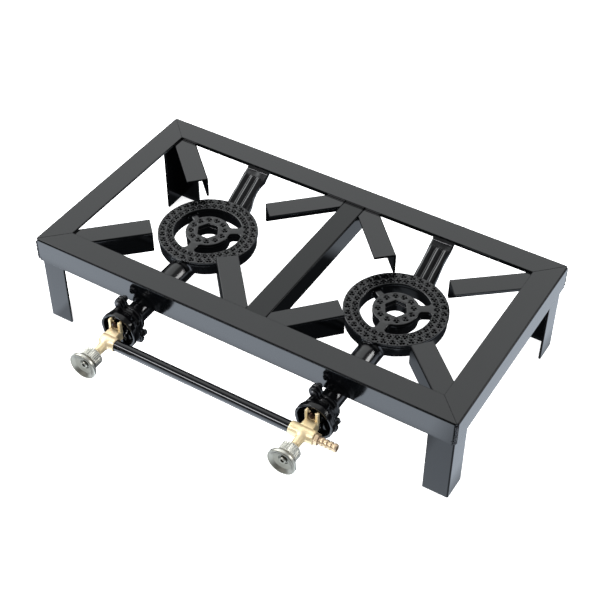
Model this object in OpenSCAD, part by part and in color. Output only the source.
// Double-burner propane stand: a low angle-steel table frame that carries two
// cast-iron ring burners, each fed by its own brass needle valve.
// Right-handed frame, +Z up, X along the long side, the knobs face -Y.
// The origin is on the floor, midway between the outermost front and back faces.

/* [Frame] */
// Overall length of the frame along X
frame_length = 600; // [580:1:660]
// Overall width of the frame along Y, without the gas valves
frame_width = 310; // [300:1:340]
// Height of the pot surface above the floor
frame_height = 135; // [120:1:170]
// Flange width of the rail and leg angle
angle_width = 34; // [32:0.5:36]
// Wall thickness of all the steel angle
angle_wall = 3; // [2.5:0.5:3.5]
// Outer corner rounding of the rolled angle
angle_round = 2.2; // [1:0.1:2.4]
// Gap between a leg and the front or back rail's inside face
leg_gap = 2; // [0:0.5:4]
// Groove cut on each vertical frame corner for its weld bead
weld_groove = 4; // [3:0.5:4.5]

/* [Pot supports] */
// Width of each pot support's top flange
support_width = 29; // [24:1:32]
// Depth of the vertical flange of each pot support and of the centre bar
support_depth = 30; // [20:1:32]
// Width of the centre bar's top flange
bar_width = 30; // [24:1:34]
// X position of the centre bar's left edge
bar_x = -3; // [-15:1:5]

/* [Burners] */
// Distance of each burner's centre from the frame's centre
burner_x = 140.5; // [136:0.5:146]
// Outer radius of the port ring
ring_outer_r = 66; // [64:0.1:67]
// Inner radius of the port ring
ring_inner_r = 45; // [43:0.5:46]
// Height of the port ring casting
ring_height = 20; // [18:1:22]
// Drop from the pot surface to the top of the burner
burner_drop = 27; // [26:1:30]
// Outer radius of the centre hub
hub_r = 29.5; // [28:0.5:31]
// Corner radius of the hub's six-sided air hole
hub_hole_r = 14.7; // [13:0.1:15]
// Clusters of three gas ports in each of the two ring rows
ring_ports = 33; // [20:1:34]
// Clusters of three gas ports in the hub row
hub_ports = 12; // [8:1:12]
// Radius of one gas port
port_r = 1.15; // [0.9:0.05:1.2]
// Distance of each port from its cluster's centre
port_offset = 2.1; // [1.9:0.1:2.2]
// Outer radius of the neck beside the ring
neck_r = 16; // [15:0.5:17]
// Bore radius of the neck and mixer
neck_bore = 10.5; // [9:0.5:11]

/* [Mixer bell] */
// Outer radius of the bell's mouth
bell_r = 25.5; // [24:0.5:27]
// Wall thickness at the mouth
bell_wall = 3.1; // [2.5:0.1:4]

/* [Gas train] */
// Outer radius of the brass valve bodies
valve_r = 8.5; // [8:0.1:10]
// Outer radius of the crossover tube
tube_r = 7; // [6:0.1:7.2]
// Wall thickness of the crossover tube
tube_wall = 1; // [0.8:0.1:1.5]
// Radius of the valve stem in its gland
stem_r = 3; // [2.8:0.05:3.2]
// Radial running clearance of the stem
stem_gap = 0.06; // [0.03:0.01:0.08]
// Radius of the hose tail's sealing lands
barb_r = 5.3; // [5:0.1:6]
// Bore radius of the hose tail
barb_bore = 3; // [2.5:0.1:3.3]

/* [Knobs] */
// Radius of the knob's front rim
knob_r = 18.5; // [16:0.5:19]
// Radius of the knob's fluted barrel
barrel_r = 12.6; // [12:0.1:13.5]
// Number of flutes round the barrel
flutes = 18; // [12:1:20]
// Distance from the valve axis to the knob's back
knob_back = 27; // [25:0.5:28]
// Distance from the valve axis to the knob's face
knob_face = 51; // [50:0.5:53]

/* [Hidden] */
$fn = 72;
left = -1;
right = 1;

// Places in the whole stand
valve_reach = 62;                          // frame's front face to the valve axis
frame_y = (valve_reach + knob_face) / 2;   // centres the whole stand along Y
valve_y = -frame_width / 2 - valve_reach;  // from the frame's centre
gas_z = frame_height - 48;                 // height of the gas axis
rail_under = frame_height - angle_wall;    // underside of the rails' top flange
ring_top = frame_height - burner_drop;
ring_bottom = ring_top - ring_height;

// Burner pads and the M6 studs through them
pad_t = 7;
washer_t = 1.5;
nut_t = 5;
front_stud_y = -frame_width / 2 + 16;
back_stud_y = frame_width / 2 - 17;

// Joint of neck and bell, measured back from the valve axis
flange_t = 5;
bell_flange_front = 41;
flange_joint = bell_flange_front + flange_t;
neck_flange_back = flange_joint + flange_t;
neck_length = frame_width / 2 + valve_reach - neck_flange_back; // from the burner's centre

// Two-eared flanges
ear_distance = 26;
ear_headings = [119.5, 299.5];

// Valves
left_body_ends = [-7.2, 13];      // X ends of the cross tube, from the valve axis
right_body_ends = [-18.5, 14.5];
socket_depth = 7;                 // crossover tube's reach into each body
branch_end = knob_back - 5.5;     // end of the branch towards the knob
chamber_depth = 6;                // packing chamber, from the branch's end
packing_front = branch_end - 2.2;
mouth = 20;                       // bell's mouth and yoke's back face, behind the axis
yoke_screw_z = 14;                // above the gas axis

steel = "#26272b";
iron = "#141416";
brass = "#d8b878";
zinc = "#b9b8b0";
packing_black = "#1b1b1b";
screw_brown = "#2a1c16";

// ---- placing helpers -------------------------------------------------------
// "Out" is the distance from a part's own centre towards the knobs (-Y).
module at_frame() { translate([0, frame_y, 0]) children(); }
module at_burner(side) { translate([side * burner_x, frame_y, 0]) children(); }
module at_valve(side) { translate([side * burner_x, frame_y + valve_y, gas_z]) children(); }
module mirror_to(side_x, side_y) {
    mirror([side_x < 0 ? 1 : 0, 0, 0]) mirror([0, side_y < 0 ? 1 : 0, 0]) children();
}
module rod_out(from, to, radius, sides = 72) {
    translate([0, -from, 0]) rotate([90, 0, 0])
        cylinder(h = to - from, r = radius, $fn = sides);
}
module rod_x(from, to, radius) {
    translate([from, 0, 0]) rotate([0, 90, 0]) cylinder(h = to - from, r = radius);
}
// Solids of revolution from a profile of [radius, out] or [radius, x]
module lathe_out(profile) { rotate([90, 0, 0]) rotate_extrude() polygon(profile); }
module lathe_x(profile) { rotate([0, 90, 0]) rotate_extrude() polygon(profile); }

// ---- frame -----------------------------------------------------------------
// Section with its outer corner at the origin, in [height, width]
module angle_section(width, depth) {
    difference() {
        translate([-depth, 0]) square([depth, width]);
        translate([-depth - 1, angle_wall]) square([depth - angle_wall + 1, width]);
        translate([-angle_round, 0]) difference() {
            translate([0, -0.1]) square([angle_round + 0.1, angle_round + 0.1]);
            translate([0, angle_round]) circle(r = angle_round, $fn = 48);
        }
    }
}

// Angle running from x = 0 to x = -length, top flange towards +Y, its top at z = 0
module angle_bar(length, width, depth) {
    rotate([0, -90, 0]) linear_extrude(height = length) angle_section(width, depth);
}

// Rail along X with its outer face towards -Y, half_span from the frame's centre.
// Its ends are mitred and grooved for the corner welds.
module mitred_rail(length, half_span) {
    end = length / 2;
    groove = weld_groove;
    mitre = angle_width + 4;
    intersection() {
        translate([end, -half_span, frame_height])
            angle_bar(length, angle_width, angle_width);
        translate([0, 0, frame_height - angle_width - 1])
            linear_extrude(height = angle_width + 2)
                polygon([
                    [-end + groove, -half_span], [end - groove, -half_span],
                    [end - groove / 2, -half_span + groove / 2],
                    [end - mitre, -half_span + mitre], [-end + mitre, -half_span + mitre],
                    [-end + groove / 2, -half_span + groove / 2]]);
    }
}
module long_rail() { mitred_rail(frame_length, frame_width / 2); }
module short_rail() { mitred_rail(frame_width, frame_length / 2); }
module front_rail() { color(steel) at_frame() long_rail(); }
module back_rail() { color(steel) at_frame() mirror([0, 1, 0]) long_rail(); }
module left_rail() { color(steel) at_frame() rotate([0, 0, -90]) short_rail(); }
module right_rail() { color(steel) at_frame() rotate([0, 0, 90]) short_rail(); }

// Bar along Y with its vertical flange on the right
module centre_bar() {
    length = frame_width - 2 * angle_wall;
    color(steel) at_frame() translate([bar_x + bar_width, length / 2, rail_under])
        mirror([1, 0, 0]) rotate([0, 0, 90]) mirror([0, 1, 0])
            angle_bar(length, bar_width, support_depth);
}

// Section with its outer corner at the origin and both flanges on the minus sides
module leg_section() {
    inside = angle_width + 1 - angle_wall;
    difference() {
        translate([-angle_width, -angle_width]) square([angle_width, angle_width]);
        translate([-angle_width - 1, -angle_width - 1]) square([inside, inside]);
        translate([-angle_round, -angle_round]) difference() {
            square([angle_round + 0.1, angle_round + 0.1]);
            circle(r = angle_round, $fn = 48);
        }
    }
}

// Leg nested in the frame corner on the given sides
module leg(side_x, side_y) {
    leg_x = frame_length / 2 - angle_wall;
    leg_y = frame_width / 2 - angle_wall - leg_gap;
    color(steel) at_frame() mirror_to(side_x, side_y) translate([leg_x, leg_y, 0])
        linear_extrude(height = rail_under) leg_section();
}
module leg_front_left() { leg(left, -1); }
module leg_front_right() { leg(right, -1); }
module leg_back_left() { leg(left, 1); }
module leg_back_right() { leg(right, 1); }

// Outward half-round bead in the groove of each vertical frame corner
module weld_bead() {
    groove = weld_groove;
    intersection() {
        cylinder(h = angle_width - 5, r = groove / 2, $fn = 32);
        translate([0, -groove, -1]) cube([2 * groove, 2 * groove, angle_width]);
    }
}
module corner_welds() {
    weld_x = (frame_length - weld_groove) / 2;
    weld_y = (frame_width - weld_groove) / 2;
    color(iron) at_frame() for (side_x = [-1, 1]) for (side_y = [-1, 1])
        mirror_to(side_x, side_y)
            translate([weld_x, weld_y, frame_height - angle_width + 1])
                rotate([0, 0, 45]) weld_bead();
}

// ---- pot supports ----------------------------------------------------------
// [burner side, inner end's x and y from the burner, heading inwards, length,
//  side of the vertical flange in the arm's own frame (1 is +Y)]
SUPPORTS = [
    [left, -49.8, -54.4, 44.3, 115, -1],
    [left, -53.6, 55.8, -43.7, 110, 1],
    [left, 59.6, 53.0, 224.3, 119, -1],
    [left, 65.7, -51.3, 130.5, 111, 1],
    [right, -45.6, -56.7, 47, 110, -1],
    [right, -45.6, 53.2, -46.5, 114, 1],
    [right, 51.5, 46.4, 219.7, 116, -1],
    [right, 64.9, -58.8, 137.5, 100, 1]];

// Arm trimmed to the bay between the centre bar and the legs' flanges
module pot_support(number) {
    arm = SUPPORTS[number - 1];
    side = arm[0];
    clearance = 0.3;
    bay_x = frame_length / 2 - 2 * angle_wall - clearance;
    bay_y = frame_width / 2 - 2 * angle_wall - leg_gap - clearance;
    from_x = side < 0 ? -bay_x : bar_x + bar_width;
    to_x = side < 0 ? bar_x : bay_x;
    color(steel) at_frame() intersection() {
        translate([side * burner_x + arm[1], arm[2], rail_under]) rotate([0, 0, arm[3]])
            mirror([0, arm[5] < 0 ? 1 : 0, 0])
                translate([0, support_width / 2, 0]) mirror([0, 1, 0])
                    angle_bar(arm[4], support_width, support_depth);
        translate([from_x, -bay_y, 0]) cube([to_x - from_x, 2 * bay_y, frame_height]);
    }
}
module pot_support_left_1() { pot_support(1); }
module pot_support_left_2() { pot_support(2); }
module pot_support_left_3() { pot_support(3); }
module pot_support_left_4() { pot_support(4); }
module pot_support_right_1() { pot_support(5); }
module pot_support_right_2() { pot_support(6); }
module pot_support_right_3() { pot_support(7); }
module pot_support_right_4() { pot_support(8); }

// ---- burners ---------------------------------------------------------------
top_wall = 4;                     // iron above the gas channels
bar_spokes = [30, 270];           // headings of the two square spokes
pipe_spoke = 150;                 // heading of the round spoke
pipe_spoke_z = ring_bottom + 9.5;

// Outline in [x, z] about the gas axis
module eared_outline() {
    circle(r = 18);
    for (heading = ear_headings) rotate([0, 0, heading]) {
        translate([0, -5.6]) square([ear_distance, 11.2]);
        translate([ear_distance, 0]) circle(r = 6.8);
    }
}
module eared_flange(from) {
    translate([0, -from, 0]) rotate([90, 0, 0]) linear_extrude(height = flange_t)
        difference() {
            eared_outline();
            circle(r = neck_bore);
            for (heading = ear_headings) rotate([0, 0, heading])
                translate([ear_distance, 0]) circle(r = 2.7);
        }
}

// Row of three-port clusters; first_port turns each cluster about its centre,
// phase shifts the row by a part of its pitch
module port_row(count, radius, first_port = 0, phase = 0) {
    depth = top_wall + 0.5;
    for (k = [0:count - 1]) rotate([0, 0, 360 / count * (k + phase)])
        for (port = [0:2])
            translate([radius, 0, ring_top - depth]) rotate([0, 0, first_port + 120 * port])
                translate([port_offset, 0, 0]) cylinder(h = depth + 1, r = port_r, $fn = 20);
}

module port_ring() {
    rotate_extrude() polygon([
        [ring_inner_r, ring_bottom], [ring_outer_r, ring_bottom],
        [ring_outer_r, ring_top - 1.5], [ring_outer_r - 1.5, ring_top],
        [ring_inner_r + 1, ring_top], [ring_inner_r, ring_top - 1]]);
}
module spokes() {
    for (heading = bar_spokes) rotate([0, 0, heading])
        translate([hub_r - 3, -6, ring_bottom + 5])
            cube([ring_inner_r - hub_r + 6, 12, ring_height - 5]);
    // the third spoke is a round pipe, set lower
    rotate([0, 0, pipe_spoke]) translate([0, 0, pipe_spoke_z])
        rod_x(hub_r - 3, ring_inner_r + 2.5, 7);
}
// Neck from the ring, under the front rail, to the flange
module neck() {
    front_r = 13.6;
    translate([0, 0, gas_z]) lathe_out([
        [0, ring_inner_r + 5], [neck_r, ring_inner_r + 5],
        [neck_r, frame_width / 2 - 40], [front_r, frame_width / 2 - 22],
        [front_r, neck_length], [0, neck_length]]);
}
// Pad under the front rail and the web that joins it to the neck
module front_lug() {
    width = 18;
    web_t = 5;
    translate([-width / 2, front_stud_y - 10, rail_under - pad_t]) cube([width, 24, pad_t]);
    translate([-width / 2, front_stud_y + 9, gas_z + 6])
        cube([width, web_t, rail_under - gas_z - 7]);
}
// Arm from the ring to its pad under the back rail, profile in [y, z]
module back_arm() {
    width = 28;
    pad_end = frame_width / 2 - 6;
    translate([-width / 2, 0, 0]) rotate([90, 0, 90]) linear_extrude(height = width) polygon([
        [ring_inner_r + 10, ring_bottom + 4], [ring_outer_r + 1, ring_bottom + 4],
        [frame_width / 2 - 29, rail_under - pad_t], [pad_end, rail_under - pad_t],
        [pad_end, rail_under], [frame_width / 2 - 27, rail_under],
        [ring_outer_r + 2, ring_top - 5], [ring_inner_r + 10, ring_top - 5]]);
}

// Channel round the burner's axis, below the top wall
module annular_channel(inner, outer, floor_z) {
    rotate_extrude() polygon([[inner, floor_z], [outer, floor_z],
        [outer, ring_top - top_wall], [inner, ring_top - top_wall]]);
}
module gas_channels() {
    ring_wall = 2.7;
    annular_channel(ring_inner_r + ring_wall, ring_outer_r - ring_wall, ring_bottom + 3.5);
    annular_channel(hub_hole_r + 2.8, hub_r - 3.5, ring_bottom + 8);
    for (heading = bar_spokes) rotate([0, 0, heading])
        translate([hub_r - 5, -2.5, ring_bottom + 9]) cube([ring_inner_r - hub_r + 10, 5, 6]);
    rotate([0, 0, pipe_spoke]) translate([0, 0, pipe_spoke_z])
        rod_x(hub_r - 5, ring_inner_r + 5, 4);
    // neck bore up to the ring channel
    translate([0, 0, gas_z]) rod_out(ring_inner_r + 9, neck_length + 1, neck_bore);
}

module burner(side) {
    color(iron) at_burner(side) {
        translate([0, 0, gas_z]) eared_flange(neck_length);
        difference() {
            union() {
                port_ring();
                translate([0, 0, ring_bottom]) cylinder(h = ring_height, r = hub_r);
                spokes();
                neck();
                front_lug();
                back_arm();
            }
            gas_channels();
            // six-sided air hole
            translate([0, 0, ring_bottom])
                cylinder(h = ring_height + 2, r = hub_hole_r, $fn = 6);
            // gas ports: outer ring row, inner ring row, hub row
            port_row(ring_ports, ring_outer_r - 6);
            port_row(ring_ports, ring_inner_r + 6, first_port = 180, phase = 0.5);
            port_row(hub_ports, (hub_hole_r + hub_r) / 2 - 0.1);
            // stud holes in the two pads
            for (y = [front_stud_y, back_stud_y]) translate([0, y, rail_under - pad_t - 1])
                cylinder(h = pad_t + 2, r = 3.3);
        }
    }
}
module left_burner() { burner(left); }
module right_burner() { burner(right); }

// Studs under the rails, each with a washer and a nut below its pad
module at_studs() {
    for (side = [left, right]) for (y = [front_stud_y, back_stud_y])
        translate([side * burner_x, y + frame_y, rail_under]) children();
}
module burner_studs() {
    length = pad_t + 8.5;
    color(zinc) at_studs() translate([0, 0, -length]) cylinder(h = length, r = 3);
}
module burner_washers() {
    color(zinc) at_studs() translate([0, 0, -pad_t - washer_t]) difference() {
        cylinder(h = washer_t, r = 6.2);
        translate([0, 0, -1]) cylinder(h = 4, r = 3.2);
    }
}
module burner_nuts() {
    color(zinc) at_studs() translate([0, 0, -pad_t - washer_t - nut_t]) difference() {
        cylinder(h = nut_t, r = 5.77, $fn = 6);
        translate([0, 0, -1]) cylinder(h = nut_t + 2, r = 3.05);
    }
}

// ---- mixer bells -----------------------------------------------------------
// Flared bell with a vertical bridge and a round boss across its mouth
module mixer_bell(side) {
    bridge_t = 5;
    bridge_half = bell_r - 1.2;
    inner_r = bell_r - bell_wall;
    profile = [ // [radius, out]
        [neck_bore, -bell_flange_front], [16.5, -bell_flange_front], [17.5, -38], [21, -33.5],
        [bell_r - 0.9, -29], [bell_r, -26], [bell_r, -mouth - 0.8], [bell_r - 0.8, -mouth],
        [inner_r, -mouth], [inner_r, -26], [20, -31], [15.5, -36.5]];
    color(iron) at_valve(side) {
        eared_flange(-flange_joint);
        difference() {
            union() {
                lathe_out(profile);
                translate([-6, mouth, -bridge_half]) cube([12, bridge_t, 2 * bridge_half]);
                rod_out(-mouth - bridge_t, -mouth, 8.5);
            }
            // holes for the jet and the yoke screw
            rod_out(-mouth - bridge_t - 1, -mouth + 1, 5.2);
            translate([0, 0, yoke_screw_z])
                rod_out(-mouth - bridge_t - 1, -mouth + 1, 2.55);
        }
    }
}
module left_mixer_bell() { mixer_bell(left); }
module right_mixer_bell() { mixer_bell(right); }

// Screws and nuts that join each bell to its burner's neck
module at_ears() {
    for (side = [left, right]) at_valve(side) for (heading = ear_headings)
        rotate([0, -heading, 0]) translate([ear_distance, 0, 0]) children();
}
module mixer_screws() {
    seat = -bell_flange_front;
    color(iron) at_ears() difference() {
        union() {
            rod_out(-neck_flange_back - 6, seat, 2.5);
            lathe_out([[0, seat], [4.6, seat], [4.6, seat + 1.8], [3.4, seat + 3.1],
                [0, seat + 3.1]]);
        }
        // driver slot
        translate([-0.6, 36, -5]) cube([1.2, 3, 10]);
    }
}
module mixer_nuts() {
    color(iron) at_ears() difference() {
        rod_out(-neck_flange_back - 4, -neck_flange_back, 4.62, 6);
        rod_out(-neck_flange_back - 5, -neck_flange_back + 1, 2.55);
    }
}

// ---- brass valves ----------------------------------------------------------
// Branch towards the knob, profile in [radius, out]
module valve_branch() {
    lathe_out([[0, 0], [6.2, 0], [6.2, 9], [5.5, branch_end - 4], [5.5, branch_end - 0.5],
        [5, branch_end], [0, branch_end]]);
}

// Injector block behind the valve, with the two prongs of the yoke above it
module injector_yoke() {
    width = 18;
    block_height = 15;
    prong_x = 7.1;
    prong_r = 1.9;
    prong_t = 5.5;
    prong_top = 19.5;
    translate([-width / 2, 5, -block_height / 2]) cube([width, mouth - 5, block_height]);
    translate([-width / 2, mouth - 2.5, 7]) cube([width, 2.5, 12]);
    for (k = [-1, 1]) {
        translate([k * prong_x - prong_r, mouth - prong_t, 6])
            cube([2 * prong_r, prong_t, prong_top - 6]);
        translate([k * prong_x, mouth - prong_t, prong_top]) rotate([-90, 0, 0])
            cylinder(h = prong_t, r = prong_r, $fn = 32);
    }
}

// Gas gallery along X, and a socket on the side that faces the other valve.
// The right body also takes the hose tail.
module cross_bores(side, ends) {
    gallery_r = 4;
    if (side == left) {
        rod_x(-4, ends[1] - 5, gallery_r);
        rod_x(ends[1] - socket_depth, ends[1] + 1, tube_r);
    } else {
        rod_x(ends[0] + 5, ends[1] - 5, gallery_r);
        rod_x(ends[0] - 1, ends[0] + socket_depth, tube_r);
        rod_x(ends[1] - 6, ends[1] + 1, 4.6);
    }
}

module valve_body(side, ends) {
    slot_r = 2.7;
    color(brass) at_valve(side) difference() {
        union() {
            rod_x(ends[0], ends[1], valve_r);
            valve_branch();
            injector_yoke();
        }
        // open slot for the yoke screw
        translate([-slot_r, 14, yoke_screw_z]) cube([2 * slot_r, 8, 10]);
        translate([0, 0, yoke_screw_z]) rod_out(-21, -15, slot_r);
        cross_bores(side, ends);
        // valve chamber, stem guide and packing chamber
        rod_out(-4, 4, 4);
        rod_out(3, branch_end - 5, stem_r + 0.4 + stem_gap);
        rod_out(branch_end - chamber_depth, branch_end + 1, 4.3);
        // seat and jet bore
        rod_out(-7, 0, 1.5);
        rod_out(-mouth - 1, -6, 3.05);
    }
}
module left_valve_body() { valve_body(left, left_body_ends); }
module right_valve_body() { valve_body(right, right_body_ends); }

// Needle stem: cone seat, threaded part, plain shank with the knob's seat
module stem(side) {
    end = knob_face - 11;
    thread_r = stem_r + 0.4;
    profile = [ // [radius, out]
        [0, -6.5], [0.6, -6.5], [2.4, -1], [2.4, 3.2], [thread_r, 3.8], [thread_r, 6.8],
        [stem_r, 7.2], [stem_r, end], [0, end]];
    color(brass) at_valve(side) difference() {
        lathe_out(profile);
        // hole for the knob screw
        rod_out(end - 9, end + 1, 2.05);
    }
}
module left_stem() { stem(left); }
module right_stem() { stem(right); }

module packing(side) {
    color(packing_black) at_valve(side) difference() {
        rod_out(branch_end - 4.9, packing_front, 4.28);
        rod_out(branch_end - chamber_depth, branch_end - 1, stem_r + stem_gap);
    }
}
module left_packing() { packing(left); }
module right_packing() { packing(right); }

module gland_nut(side) {
    color(brass) at_valve(side) difference() {
        union() {
            rod_out(packing_front, branch_end + 0.2, 4.25);
            rod_out(branch_end + 0.1, branch_end + 3.4, 5.7, 6);
        }
        rod_out(branch_end - 3, branch_end + 4, stem_r + stem_gap);
    }
}
module left_gland_nut() { gland_nut(left); }
module right_gland_nut() { gland_nut(right); }

// Shank in the injector block, hexagon and tapered nose, with a stepped bore
module jet(side) {
    color(brass) at_valve(side) difference() {
        union() {
            rod_out(-mouth, -13, 3);
            rod_out(-mouth - 3, -mouth, 4.6, 6);
            lathe_out([[0, -31], [1.4, -31], [2.6, -28.5], [2.6, -22.5], [0, -22.5]]);
        }
        rod_out(-32, -12, 0.5, 24);
        rod_out(-27, -12, 1.4, 24);
    }
}
module left_jet() { jet(left); }
module right_jet() { jet(right); }

// Screws that clamp each yoke to its bell's bridge
module yoke_screws() {
    seat = -mouth + 2.5;
    profile = [ // [radius, out]
        [0, seat], [4.6, seat], [4.6, -16.2], [3.6, -14.8], [2, -14.2], [0, -14.2]];
    color(screw_brown) for (side = [left, right])
        at_valve(side) translate([0, 0, yoke_screw_z]) difference() {
            union() {
                rod_out(-27, seat, 2.5);
                lathe_out(profile);
            }
            // driver slot
            translate([-0.6, 14, -5]) cube([1.2, 1.6, 10]);
        }
}

// Tube that carries gas from the right valve to the left one
module crossover_tube() {
    from = -burner_x + left_body_ends[1] - socket_depth;
    to = burner_x + right_body_ends[0] + socket_depth;
    color(iron) translate([0, frame_y + valve_y, gas_z]) difference() {
        rod_x(from, to, tube_r);
        rod_x(from - 1, to + 1, tube_r - tube_wall);
    }
}

// Hose tail: threaded shank, hexagonal collar and four sealing lands
module hose_barb() {
    seat = right_body_ends[1];
    root_r = barb_r - 1;
    tip = seat + 29;
    land_pitch = 5.5;
    land = [[root_r, 0], [barb_r, 1.5], [barb_r, 4], [root_r, 4.5]]; // [radius, x]
    profile = concat(
        [[0, seat + 4], [root_r, seat + 4]],
        // the last land runs on into the tip
        [for (k = [0:3]) for (i = [0:(k < 3 ? 3 : 2)])
            [land[i][0], seat + 7 + land_pitch * k + land[i][1]]],
        [[barb_r - 0.9, tip], [0, tip]]);
    color(brass) at_valve(right) difference() {
        union() {
            rod_x(seat - 5.5, seat + 1, 4.55);
            translate([seat, 0, 0]) rotate([0, 90, 0]) cylinder(h = 5, r = 7.4, $fn = 6);
            lathe_x(profile);
        }
        rod_x(seat - 6, tip + 1, barb_bore);
    }
}

// ---- knobs -----------------------------------------------------------------
screw_seat = knob_face - 6.8; // floor of the knob's dished face

// Fluted barrel with a wide, dished front rim
module knob(side) {
    back = knob_back;
    face = knob_face;
    profile = [ // [radius, out]
        [0, back], [barrel_r - 0.8, back], [barrel_r, back + 0.8],
        [barrel_r, face - 10.5], [barrel_r + 0.8, face - 9], [knob_r - 0.8, face - 5.4],
        [knob_r, face - 4], [knob_r, face - 1], [knob_r - 1, face], [knob_r - 2.2, face - 0.4],
        [12, face - 3.8], [8, face - 5.4], [6.2, face - 5.8], [6, screw_seat], [0, screw_seat]];
    color(zinc) at_valve(side) difference() {
        lathe_out(profile);
        for (k = [0:flutes - 1]) rotate([0, 360 / flutes * k, 0])
            translate([0, -back + 0.5, barrel_r + 0.9]) rotate([90, 0, 0])
                cylinder(h = face - back - 10.3, r = 1.5, $fn = 24);
        // stem bore, screw hole and recess in the back
        rod_out(back - 0.5, face - 10.6, stem_r + 0.05);
        rod_out(face - 11, face - 6, 2.2);
        rod_out(back - 0.5, back + 3.5, 9);
    }
}
module left_knob() { knob(left); }
module right_knob() { knob(right); }

// Screw with a hexagonal socket
module knob_screw(side) {
    face = knob_face;
    color(zinc) at_valve(side) difference() {
        union() {
            rod_out(face - 18, screw_seat, 2);
            lathe_out([[0, screw_seat], [4.6, screw_seat], [4.6, face - 4.2],
                [3.9, face - 3.4], [0, face - 3.4]]);
        }
        rod_out(face - 5.8, face - 3, 2.7, 6);
    }
}
module left_knob_screw() { knob_screw(left); }
module right_knob_screw() { knob_screw(right); }

// ---- drawing ---------------------------------------------------------------
front_rail();
back_rail();
left_rail();
right_rail();
centre_bar();
leg_front_left();
leg_front_right();
leg_back_left();
leg_back_right();
pot_support_left_1();
pot_support_left_2();
pot_support_left_3();
pot_support_left_4();
pot_support_right_1();
pot_support_right_2();
pot_support_right_3();
pot_support_right_4();
corner_welds();
left_burner();
right_burner();
left_mixer_bell();
right_mixer_bell();
mixer_screws();
mixer_nuts();
burner_studs();
burner_washers();
burner_nuts();
left_valve_body();
right_valve_body();
left_stem();
right_stem();
left_packing();
right_packing();
left_gland_nut();
right_gland_nut();
left_jet();
right_jet();
yoke_screws();
crossover_tube();
hose_barb();
left_knob();
right_knob();
left_knob_screw();
right_knob_screw();
